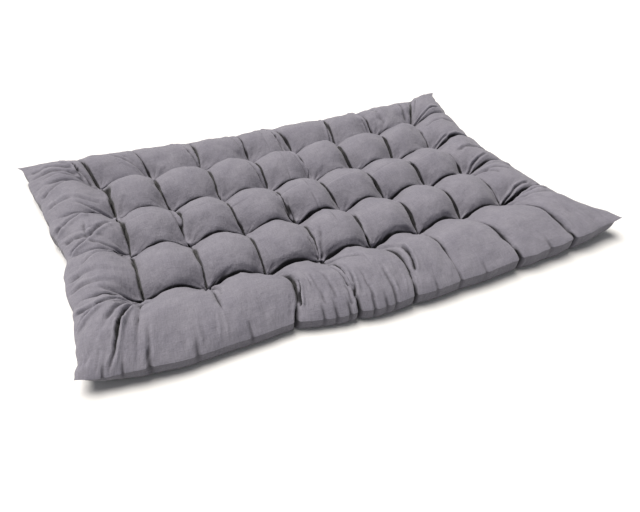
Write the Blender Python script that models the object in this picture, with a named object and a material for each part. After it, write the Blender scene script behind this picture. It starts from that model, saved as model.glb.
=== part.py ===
"""Tufted garden mattress: one filled cushion, with a top panel and an underside sewn together at a
knife edge and pinched by tufts, so that it stands up in crowned pillows between drawn-in creases.

Units are metres and +Z is up.  The mattress lies on its underside, along X, with the middle of its
footprint over the origin.
"""
import math

import bmesh
import bpy
from mathutils import Vector

# ---- driving sizes -----------------------------------------------------------------------------
TUFT_COLUMNS = 8            # tufts along the length
TUFT_ROWS = 4               # tufts across the width
PITCH_X = 0.172             # from tuft to tuft along the length
PITCH_Y = 0.203             # from tuft to tuft across the width
MARGIN_LEFT = 0.196         # from the outer tufts to the seam at -X
MARGIN_RIGHT = 0.184        # to the seam at +X
MARGIN_NEAR = 0.258         # to the seam at -Y
NEAR_SLANT = 0.010          # which leans out by this much towards +X
MARGIN_FAR = 0.200          # to the seam at +Y

CROWN_HEIGHT = 0.112        # top of a pillow above the floor
TUFT_HEIGHT = 0.032         # top panel at a tuft
TUFT_LIFT = 0.022           # underside at a tuft
SEAM_HEIGHT = 0.054         # sewn edge above the floor
UNDER_DEPTH = 0.046         # how far the underside's pillows would hang below their tufts

CREASE_X = 0.28             # height of a crease between neighbours along the length, as a share
CREASE_Y = 0.38             # the same between neighbours across the width
CREASE_EDGE = 0.70          # the same where a crease runs out at the seam
CREST_X = 0.56              # where a margin pillow is highest, in margins from the seam
CREST_Y = 0.58
MARGIN_CROWN = 0.95         # margin pillows stand a little lower than inner ones
FAR_CROWN = 0.85            # and lowest along the far seam
CROWN_SPREAD = 0.045        # how much the pillows differ in height, as a share

EDGE_DROP = 0.050           # cloth it takes the underside to come down from seam to floor
EDGE_ROLL = 0.120           # how far in the underside's cloth is drawn out under the seam
SCALLOP = 0.008             # how far a crease draws an end seam in
BOW = 0.050                 # both long edges bend this much towards -Y at mid-length
TAPER = -0.006              # the rows of tufts draw together towards +X

# Each row of tufts, from the near long edge to the far one, wanders a little.
#             drift_x  spread_x
ROW_WANDER = ((0.000, 0.004),
              (0.004, -0.004),
              (-0.005, -0.012),
              (0.003, 0.014))

# The creases that run out from the tuft columns draw the two long seams in, some of them sharply.
#                 near   far
COLUMN_NOTCHES = ((0.005, 0.009),
                  (0.004, 0.006),
                  (0.014, 0.010),
                  (0.015, 0.006),
                  (0.015, 0.011),
                  (0.005, 0.008),
                  (0.014, 0.011),
                  (0.012, 0.009))

# The corners are pulled out into flat points, each a little differently.
#           side_x side_y  out_x   out_y   lift
CORNERS = ((-1, -1, 0.010, -0.006, 0.008),
           (1, -1, 0.100, 0.002, 0.012),
           (1, 1, 0.096, 0.012, 0.008),
           (-1, 1, 0.066, -0.022, 0.000))
CORNER_REACH = 4.4          # how soon a corner's pull fades away from it

# Grid lines across one cell, close together beside a crease, and across a margin from its seam.
CELL_LINES = (0.0, 0.05, 0.14, 0.30, 0.50, 0.70, 0.86, 0.95)
MARGIN_LINES = (0.0, 0.07, 0.18, 0.36, 0.56, 0.72, 0.86, 0.95)

WELD_DISTANCE = 0.00005
CLOTH_COLOUR = (0.292, 0.279, 0.318, 1.0)
CLOTH_ROUGHNESS = 0.92

CELLS_X = TUFT_COLUMNS + 1
CELLS_Y = TUFT_ROWS + 1
HALF_X = (TUFT_COLUMNS - 1) / 2 * PITCH_X + (MARGIN_LEFT + MARGIN_RIGHT) / 2
HALF_Y = (TUFT_ROWS - 1) / 2 * PITCH_Y + (MARGIN_NEAR + MARGIN_FAR) / 2


def smooth_step(value):
    """Ease from 0 to 1 with level ends."""
    value = min(max(value, 0.0), 1.0)
    return value * value * (3.0 - 2.0 * value)


def cell_lines(cells):
    """Grid lines along one side, in cells: the first and last cells are margins."""
    lines = list(MARGIN_LINES)
    for cell in range(1, cells - 1):
        lines += [cell + line for line in CELL_LINES]
    lines += [cells - 1.0]
    lines += [cells - line for line in reversed(MARGIN_LINES)][:-1]
    return lines + [float(cells)]


def along(place, cells, pitch, margin_low, margin_high):
    """Distance from the middle tufts for a place given in cells, with wider margins at both ends."""
    inner = (cells - 2) / 2 * pitch
    if place < 1:
        return -inner - (1 - place) * margin_low
    if place > cells - 1:
        return inner + (place - cells + 1) * margin_high
    return (place - cells / 2) * pitch


def nearness_to_edge(place, cells):
    """1 on a seam, 0 from the first tufts inwards."""
    return max(1.0 - place, place - cells + 1.0, 0.0)


def crown(place, cells, crest):
    """Round profile of the pillows along one side: 0 on creases and seams, 1 on crests."""
    edge = nearness_to_edge(place, cells)
    if edge > 1.0 - crest:
        rise = (1.0 - edge) / crest
        return (1.0 - (1.0 - rise) ** 2) ** 0.80
    if edge > 0.0:
        rise = edge / (1.0 - crest)
    else:
        rise = 1.0 - abs(2.0 * (place % 1.0) - 1.0)
    return (1.0 - (1.0 - rise) ** 2.2) ** 0.62


def crease_share(across, cells_across, along_it, cells_along, crest, share):
    """Height of a crease as a share of the crown: shallow where it runs out at a seam, none on
    the seam itself."""
    if nearness_to_edge(across, cells_across) > 1.0 - crest:
        return 0.0
    run_out = nearness_to_edge(along_it, cells_along) ** 1.5
    return share + (CREASE_EDGE - share) * run_out


def fullness(u, v):
    """How far the cloth stands out from its tufts at a place: 0 on a tuft or seam, 1 on a crown."""
    round_x = crown(u, CELLS_X, CREST_X)
    round_y = crown(v, CELLS_Y, CREST_Y)
    share_x = crease_share(u, CELLS_X, v, CELLS_Y, CREST_X, CREASE_X)
    share_y = crease_share(v, CELLS_Y, u, CELLS_X, CREST_Y, CREASE_Y)
    return (round_x * round_y
            + share_x * (1.0 - round_x) * round_y
            + share_y * (1.0 - round_y) * round_x)


def pillow_scale(u, v):
    """Neighbouring pillows differ a little in height, and margin pillows are lower."""
    column = min(int(u), CELLS_X - 1)
    row = min(int(v), CELLS_Y - 1)
    mood = math.sin(2.7 * column + 1.3 * row) * math.cos(1.9 * row - 0.8 * column)
    edge = max(nearness_to_edge(u, CELLS_X), nearness_to_edge(v, CELLS_Y))
    far = max(v - CELLS_Y + 1.0, 0.0)
    lower = 1.0 - (1.0 - MARGIN_CROWN) * smooth_step(3.0 * edge)
    lower -= (MARGIN_CROWN - FAR_CROWN) * smooth_step(3.0 * far)
    return lower * (1.0 + CROWN_SPREAD * mood)


def row_wander(u, v):
    """Drift along X of the tuft rows, blended from row to row."""
    place = min(max(v - 1.0, 0.0), TUFT_ROWS - 1.0)
    row = min(int(place), TUFT_ROWS - 2)
    blend = place - row
    side = (u - CELLS_X / 2) / (CELLS_X / 2)
    near = ROW_WANDER[row][0] + ROW_WANDER[row][1] * side
    far = ROW_WANDER[row + 1][0] + ROW_WANDER[row + 1][1] * side
    fade = 1.0 - smooth_step(nearness_to_edge(v, CELLS_Y))
    return (near + (far - near) * blend) * fade


def between_corners(place, cells):
    """1 where a crease meets a seam, 0 half a pillow away and past the outer tufts."""
    if nearness_to_edge(place, cells) > 0.5:
        return 0.0
    return abs(math.cos(math.pi * place)) ** 6


def column_notch(u, side_y):
    """How far the nearest column's crease draws in the long seam on this side."""
    column = min(max(round(u), 1), TUFT_COLUMNS) - 1
    near, far = COLUMN_NOTCHES[column]
    return near if side_y < 0 else far


def plan_point(u, v):
    """Place of the cloth seen from above, with its bow, scallops and pulled corners, and the
    height that a corner's lift adds."""
    x = along(u, CELLS_X, PITCH_X, MARGIN_LEFT, MARGIN_RIGHT)
    y = along(v, CELLS_Y, PITCH_Y, MARGIN_NEAR, MARGIN_FAR)
    side_x = x / HALF_X
    side_y = y / HALF_Y

    draw_x = smooth_step(nearness_to_edge(u, CELLS_X)) * between_corners(v, CELLS_Y)
    draw_y = smooth_step(nearness_to_edge(v, CELLS_Y)) * between_corners(u, CELLS_X)
    x -= math.copysign(SCALLOP * draw_x, side_x)
    y -= math.copysign(column_notch(u, side_y) * draw_y, side_y)

    x += row_wander(u, v)
    y += BOW * (side_x ** 2 - 0.33) + TAPER * side_x * side_y
    y -= NEAR_SLANT * side_x * smooth_step(1.0 - v)

    lift = 0.0
    for corner_x, corner_y, out_x, out_y, rise in CORNERS:
        near_x = max(side_x * corner_x, 0.0)
        near_y = max(side_y * corner_y, 0.0)
        pull = (near_x * near_y) ** CORNER_REACH
        x += corner_x * out_x * pull
        y += corner_y * out_y * pull
        lift += rise * pull
    return x, y, lift


def seam_share(u, v):
    """1 on the sewn edge, fading to 0 at the outer tufts."""
    edge = max(nearness_to_edge(u, CELLS_X), nearness_to_edge(v, CELLS_Y))
    return smooth_step(edge)


def top_point(u, v):
    """Place of the top panel."""
    x, y, lift = plan_point(u, v)
    base = TUFT_HEIGHT + (SEAM_HEIGHT - TUFT_HEIGHT) * seam_share(u, v)
    rise = (CROWN_HEIGHT - base) * fullness(u, v) * pillow_scale(u, v)
    return Vector((x, y, base + rise + lift))


def rolled_place(place, cells, margin, share):
    """Move a place near a seam outwards, so that the underside drops steeply below the seam."""
    inward = (1.0 - nearness_to_edge(place, cells)) * margin
    if inward >= EDGE_ROLL:
        return place
    shift = share * (inward - inward ** 2 / EDGE_ROLL) / margin
    return place - shift if place < cells / 2 else place + shift


def drop_below_seam(place, cells, margin):
    """0 on the seam, 1 where the underside has come down to the floor."""
    inward = (1.0 - nearness_to_edge(place, cells)) * margin
    return math.sin(min(inward / EDGE_DROP, 1.0) * math.pi / 2)


def under_point(u, v):
    """Place of the underside: it falls from the seam to the floor, lies flat on it under each
    pillow and rises to the tufts."""
    margin_x = MARGIN_LEFT if u < CELLS_X / 2 else MARGIN_RIGHT
    margin_y = MARGIN_NEAR if v < CELLS_Y / 2 else MARGIN_FAR
    drop_x = drop_below_seam(u, CELLS_X, margin_x)
    drop_y = drop_below_seam(v, CELLS_Y, margin_y)
    drop = drop_x * drop_y
    across = rolled_place(u, CELLS_X, margin_x, drop_y)
    up = rolled_place(v, CELLS_Y, margin_y, drop_x)
    x, y, lift = plan_point(across, up)
    sag = max(TUFT_LIFT - UNDER_DEPTH * fullness(u, v), 0.0)
    inner = 1.0 - seam_share(u, v)
    return Vector((x, y, (SEAM_HEIGHT + lift) * (1.0 - drop) + sag * inner * drop))


def add_panel(mesh, lines_x, lines_y, place):
    """One panel of cloth: a plain grid moved into its form.  A fold line runs inwards from each
    corner, so that the filling reaches its tip."""
    across = len(lines_x) - 1
    up = len(lines_y) - 1
    grid = bmesh.ops.create_grid(mesh, x_segments=across, y_segments=up, size=0.5)
    for vertex in grid["verts"]:
        column = round((vertex.co.x + 0.5) * across)
        row = round((vertex.co.y + 0.5) * up)
        vertex.co = place(lines_x[column], lines_y[row])
    for corner in [vertex for vertex in grid["verts"] if len(vertex.link_faces) == 1]:
        inner = corner.link_loops[0].link_loop_next.link_loop_next.vert
        bmesh.ops.connect_verts(mesh, verts=[corner, inner])
    return grid["verts"]


def centre_footprint(mesh):
    """Bring the middle of the footprint over the origin and the lowest point to the floor."""
    corners = [[pick(vertex.co[axis] for vertex in mesh.verts) for axis in range(3)]
               for pick in (min, max)]
    low, high = corners
    shift = Vector((-(low[0] + high[0]) / 2, -(low[1] + high[1]) / 2, -low[2]))
    bmesh.ops.translate(mesh, verts=mesh.verts, vec=shift)


def mattress_mesh():
    """Top panel and underside, sewn into one closed filled body."""
    lines_x = cell_lines(CELLS_X)
    lines_y = cell_lines(CELLS_Y)
    mesh = bmesh.new()
    add_panel(mesh, lines_x, lines_y, top_point)
    underside = add_panel(mesh, lines_x, lines_y, under_point)
    under_faces = {face for vertex in underside for face in vertex.link_faces}
    bmesh.ops.reverse_faces(mesh, faces=list(under_faces))
    bmesh.ops.remove_doubles(mesh, verts=mesh.verts, dist=WELD_DISTANCE)
    centre_footprint(mesh)
    data = bpy.data.meshes.new("mattress")
    mesh.to_mesh(data)
    mesh.free()
    data.shade_smooth()
    data.set_sharp_from_angle(angle=math.radians(35))
    return data


def cloth_material():
    """Matt grey woven cotton."""
    material = bpy.data.materials.new("cloth")
    material.use_nodes = True
    shader = material.node_tree.nodes["Principled BSDF"]
    shader.inputs["Base Color"].default_value = CLOTH_COLOUR
    shader.inputs["Roughness"].default_value = CLOTH_ROUGHNESS
    shader.inputs["Metallic"].default_value = 0.0
    material.diffuse_color = CLOTH_COLOUR
    return material


def clear_scene():
    """Remove what a new file starts with."""
    for thing in list(bpy.data.objects):
        bpy.data.objects.remove(thing, do_unlink=True)


def main():
    clear_scene()
    parts = bpy.data.collections.new("garden_mattress")
    bpy.context.scene.collection.children.link(parts)
    data = mattress_mesh()
    data.materials.append(cloth_material())
    parts.objects.link(bpy.data.objects.new("mattress", data))


main()
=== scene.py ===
"""Tufted garden mattress, dressed: one padded body of grey woven cotton, and the studio it lies in.

Units are metres and +Z is up.  A place on the cloth is given in cells: u runs along the length and
v across the width, with tufts at whole numbers, the first and last cells being the margins that
run out to the sewn edge.
"""

import math

import bpy
import numpy as np
from mathutils import Matrix, Vector


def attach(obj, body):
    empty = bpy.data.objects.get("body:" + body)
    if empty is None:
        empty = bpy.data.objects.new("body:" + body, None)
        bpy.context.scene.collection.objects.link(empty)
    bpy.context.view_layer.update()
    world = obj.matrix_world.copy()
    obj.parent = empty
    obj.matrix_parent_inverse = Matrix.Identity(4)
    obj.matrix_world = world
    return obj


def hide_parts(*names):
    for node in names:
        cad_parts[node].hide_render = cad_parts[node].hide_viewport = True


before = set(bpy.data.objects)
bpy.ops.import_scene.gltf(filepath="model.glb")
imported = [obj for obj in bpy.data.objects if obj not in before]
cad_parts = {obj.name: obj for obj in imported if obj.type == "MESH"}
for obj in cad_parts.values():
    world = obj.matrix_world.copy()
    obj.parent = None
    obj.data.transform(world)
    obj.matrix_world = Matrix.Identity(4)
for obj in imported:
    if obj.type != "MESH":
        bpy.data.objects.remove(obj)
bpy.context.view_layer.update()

bl_info = {
    "name": "Tufted garden mattress",
    "version": (1, 0, 0),
    "blender": (4, 5, 0),
    "location": "3D View > Sidebar > Mattress",
    "description": "Makes a tufted, padded garden mattress and the studio around it",
    "category": "Object",
}

# ---- sizes that the frame is built from, in metres ----------------------------------------------
TUFT_COLUMNS = 8            # tufts along the length
TUFT_ROWS = 4               # tufts across the width
PITCH_X = 0.172             # from tuft to tuft along the length
PITCH_Y = 0.203             # from tuft to tuft across the width
MARGIN_LEFT = 0.196         # from the outer tufts to the seam at -X
MARGIN_RIGHT = 0.184        # to the seam at +X
MARGIN_NEAR = 0.258         # to the seam at -Y
NEAR_SLANT = 0.010          # which leans out by this much towards +X
MARGIN_FAR = 0.200          # to the seam at +Y

TUFT_HEIGHT = 0.032         # top panel at a tuft
TUFT_LIFT = 0.022           # underside at a tuft
SEAM_HEIGHT = 0.054         # sewn edge above the floor
UNDER_DEPTH = 0.046         # how far the underside's pillows would hang below their tufts

CREASE_EDGE = 0.70          # height of a crease where it runs out at the seam, as a share
CREST_X = 0.56              # where a margin pillow is highest, in margins from the seam
CREST_Y = 0.58
MARGIN_CROWN = 0.95         # margin pillows stand a little lower than inner ones
FAR_CROWN = 0.85            # and lowest along the far seam
CROWN_SPREAD = 0.045        # how much the pillows differ in height, as a share

EDGE_DROP = 0.050           # cloth it takes the underside to come down from seam to floor
EDGE_ROLL = 0.120           # how far in the underside's cloth is drawn out under the seam
SCALLOP = 0.008             # how far a crease draws an end seam in
BOW = 0.050                 # both long edges bend this much towards -Y at mid-length
TAPER = -0.006              # the rows of tufts draw together towards +X

# Each row of tufts, from the near long edge to the far one, wanders a little.
#             drift_x  spread_x
ROW_WANDER = ((0.000, 0.004),
              (0.004, -0.004),
              (-0.005, -0.012),
              (0.003, 0.014))

# The creases that run out from the tuft columns draw the two long seams in, some of them sharply.
#                 near   far
COLUMN_NOTCHES = ((0.005, 0.009),
                  (0.004, 0.006),
                  (0.014, 0.010),
                  (0.015, 0.006),
                  (0.015, 0.011),
                  (0.005, 0.008),
                  (0.014, 0.011),
                  (0.012, 0.009))

# The corners are pulled out into flat points, each a little differently.
# The last column tells how soon the thin flat of the corner fills out away from it.
#           side_x side_y  out_x   out_y   lift   thin
CORNERS = ((-1, -1, 0.010, -0.006, 0.008, 6.0),
           (1, -1, 0.100, 0.002, 0.012, 11.0),
           (1, 1, 0.096, 0.012, 0.008, 8.0),
           (-1, 1, 0.066, -0.022, 0.000, 7.0))
CORNER_REACH = 4.4          # how soon a corner's pull fades away from it

CELLS_X = TUFT_COLUMNS + 1
CELLS_Y = TUFT_ROWS + 1
HALF_X = (TUFT_COLUMNS - 1) / 2 * PITCH_X + (MARGIN_LEFT + MARGIN_RIGHT) / 2
HALF_Y = (TUFT_ROWS - 1) / 2 * PITCH_Y + (MARGIN_NEAR + MARGIN_FAR) / 2
SHIFT_X, SHIFT_Y = -0.0283592, 0.01915526      # brings the footprint's middle over the origin

# ---- unevenness that is drawn by seeded noise ----------------------------------------------------
# Dents of the whole top panel: height in millimetres, size along the length and across it in
# metres, how far into the noise they start, and their seed.
DENTS = ((3.0, 0.060, 0.060, 0.0, 3),
         (1.3, 0.028, 0.034, 9.0, 4),
         (1.2, 0.019, 0.024, 40.0, 5))
GATHER_HEIGHT = 2.3         # gathers along the near seam, in millimetres
GATHER_PITCH = 0.013        # from one gather to the next
GATHER_LENGTH = 0.085
GATHER_REACH = 0.17         # how far in from the seam they are gone
PUCKERS = 9.0               # folds round half a tuft
PUCKER_HEIGHT = 2.72        # in millimetres
PUCKER_REACH, PUCKER_UNEVEN = 0.022, 0.010     # how far out they are highest, and how unevenly
STITCH_HEIGHT = 1.5         # puckers of the seam's stitches, in millimetres
STITCH_PITCH = 0.009
STITCH_REACH = 0.022        # how far in from the seam they die away
SEAM_SEEDS = (21, 22)
STITCH_SEEDS = (31, 32)
PUCKER_SEEDS = (41, 42, 43)
FOLD_SEEDS = (51, 52)
GATHER_SEEDS = (7, 9, 11)

# ---- how the cloth is laid out for the simulation and for the finished piece --------------------
SIM_LINES = (14, 14)        # lines of cloth in a cell along the length and across it
SIM_CROWDING = 0.4          # how much the lines crowd together beside a crease
CLOTH_SETTINGS = {"quality": 5, "mass": 0.15, "tension_damping": 5.0, "compression_damping": 5.0,
                  "shear_damping": 5.0, "bending_damping": 0.5, "air_damping": 1.0,
                  "use_pressure": True}
FINE_LINES = (60, 66)       # the same for the finished piece's top, with half as many underneath
FINE_CROWDING = 0.2

# Creases between neighbours in a row, one column of tufts after another and one span between rows
# after another, from the near margin to the far one: how far a crease's middle bows towards +X,
# and how deep it is cut, in millimetres.
#                  1     2     3     4     5     6     7     8
COLUMN_BOW = ((   0,    0,   34,    6,   16,   -6,    4,   24),
              (   0,    0,   -5,    0,   -9,    0,    0,    0),
              (   2,    0,   -7,   -6,  -16,  -10,    0,    0),
              (   4,  -10,    0,    0,  -16,  -18,    0,    0),
              (   0,    0,    0,    0,    0,    0,    0,    0))
COLUMN_CUT = ((   8,    0,   13,    3,   11,   12,   18,   19),
              (  22,   24,   22,   19,   11,   21,   23,   16),
              (  24,   18,   22,    9,   11,   22,   23,   21),
              (  24,   21,   22,   10,   10,   22,   24,   23),
              (  18,    8,   17,    8,   14,   17,   18,   22))
# Where those creases meet the long seams: how far each has drifted by then, in cells.
#                  1      2      3      4      5      6      7      8
NEAR_DRIFT = (-0.42, -0.05,  0.00,  0.00,  0.00, -0.12,  0.14,  0.27)
FAR_DRIFT = ( -0.27, -0.26,  0.02,  0.02, -0.08,  0.20,  0.06,  0.66)
# Slits and tucks across the near edge: where each lies, in cells, and how deep it is, in
# millimetres.
NEAR_SLITS = ((0.45, 5), (0.77, 5), (1.13, 8), (1.62, 5), (2.30, 4), (3.00, 24), (3.42, 5),
              (3.62, 6), (3.84, 7), (4.00, 20), (4.24, 7), (4.45, 5), (4.62, 6), (5.00, 24),
              (5.45, 4), (6.00, 6), (6.40, 3), (7.00, 24), (7.55, 4), (8.00, 16))
# The creases that run along the length, from the near row of tufts to the far one: how deep they
# are cut in the left margin, between tufts and in the right margin, in millimetres.
#          left inner right
ROW_CUT = ((  6,   17,   15),
           (  7,   18,   17),
           (  7,   18,   14),
           ( 10,   16,   15))
CUT_WIDTH = 0.0065          # half the width of a cut
CREASE_SHADE = 0.88          # how dark the painted shade makes the cloth at most in a closed crease
OPEN_SHADED, OPEN_UNSHADED = 0.47, 0.57      # share of the sky at which the painted crease shade is full, and at which it is gone
SLIT_SHADE = 80.0            # how dark a slit is painted, as shade, per metre of its depth
GAP_SHARE = (0.82, 0.55)    # how much of its way to a crease the cloth beside it may go
# How far pillows fall away towards the creases of each row, from the near one to the far one, as a
# share of what they stand above a crease; towards the right by more; and towards the columns'.
ROUNDED_ROWS = (0.42, 0.48, 0.60, 0.60)
ROUNDED_RIGHT = 0.20
ROUNDED_COLUMNS = 0.26
CREASE_LEVEL = 0.048        # height of the creases
HOLLOW = 0.80               # depth of the hollow about a tuft, as a share of the height there
HOLLOW_WIDTH = 0.042
SLIT_WIDTH = 0.0045         # half the width of a slit
SLIT_REACH = 0.030          # how far in from the seam a slit dies away
SIDE_TONE = 0.60            # how light the side and the underside look beside the top
SLIT_TONE_LEAST = 0.08      # and how light the painted shade leaves a slit at least
# Painted shade in hollows and painted highlight on ridges: steps of softening that give the
# surroundings, depth at which the change is full, and how much darker a hollow and lighter a ridge
# is then painted.
SHADE_AND_HIGHLIGHT_SCALES = ((4, 0.0012, 0.36, 0.08), (24, 0.0050, 0.10, 0.05), (150, 0.0160, 0.04, 0.04))
SKY_STEPS = (1, 2, 3, 4, 6, 8, 11, 15)         # how many lines away the horizon is looked for
SEAM_ROUGHNESS = 0.0035     # how far a sewn edge strays from its line
SEAM_WAVE = 0.028           # over such a length
# How far the seams are drawn in (+) or slack (-), in millimetres, at places given in cells: the end
# seams from the near corner to the far one, and the long seams from the left corner to the right.
# The near seam's third value is how much lower than the others it hangs there.
LEFT_SEAM = ((0.0, -9), (0.2, 6), (0.4, 3), (0.8, 15), (1.0, 8), (1.5, 6), (1.9, 6), (2.3, 15),
             (2.5, 8), (2.8, -8), (3.0, -13), (3.3, -7), (3.6, -5), (4.0, -14), (4.4, -6),
             (5.0, 0))
RIGHT_SEAM = ((0.0, 8), (0.2, -20), (0.7, -11), (1.0, -12), (1.4, -1), (1.8, -7), (2.1, -6),
              (2.5, 6), (2.9, -17), (3.4, -8), (3.8, -4), (4.3, -10), (5.0, -14))
NEAR_SEAM = ((0.0, 0, 14), (0.5, 2, 15), (1.1, 2, 9), (1.5, 6, 13), (1.8, 12, 15), (2.0, 16, 15),
             (2.4, 26, 15), (2.8, 34, 15), (3.0, 34, 15), (3.3, 25, 15), (3.7, 13, 14),
             (4.2, 0, 11), (5.0, -2, 7), (6.0, -3, 4), (7.5, -4, 0), (8.2, -6, 0), (9.0, 0, 0))
FAR_SEAM = ((3.0, 0), (3.7, 8), (4.4, 7), (4.8, 0), (6.0, 1), (6.6, 8), (7.7, 8), (8.2, 0),
            (8.8, -5), (9.0, 0))
NEAR_NOTCH_SHARE = 0.3      # the near notches are narrow slits, and wide ones only to this share
# Where the margins' creases are filled out nearly to the pillows' height, as a share.
#                 1     2     3     4     5     6     7     8
NEAR_FILLED = (0.90, 1.00, 0.40, 0.80, 0.50, 0.80, 0.00, 0.00)
FAR_FILLED = ( 0.00, 0.80, 0.00, 0.85, 0.30, 0.30, 0.20, 0.00)
#                 1     2     3     4
LEFT_FILLED = (0.88, 0.85, 0.80, 0.88)
RIGHT_FILLED = (0.30, 0.30, 0.60, 0.30)
FILLED_REACH = 0.32         # how far from the tufts, in cells, until a crease is filled out

FOLD_DEPTH = 1.4            # how deep the folds are laid, times the table's depths
FOLD_ASIDE = 0.06           # how far to both sides of its line a fold is worked out
FOLD_PAST = 0.03            # and how far past its ends
FOLD_END = 1.8              # length over which a fold dies away past its ends, in half widths
FOLD_WAVER = 2.2            # how far a fold's line strays, in millimetres
FOLD_SWELL = 0.4            # how much its depth changes, as a share
WAVER_LENGTH, SWELL_LENGTH = 0.022, 0.016      # over such a length along it
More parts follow.
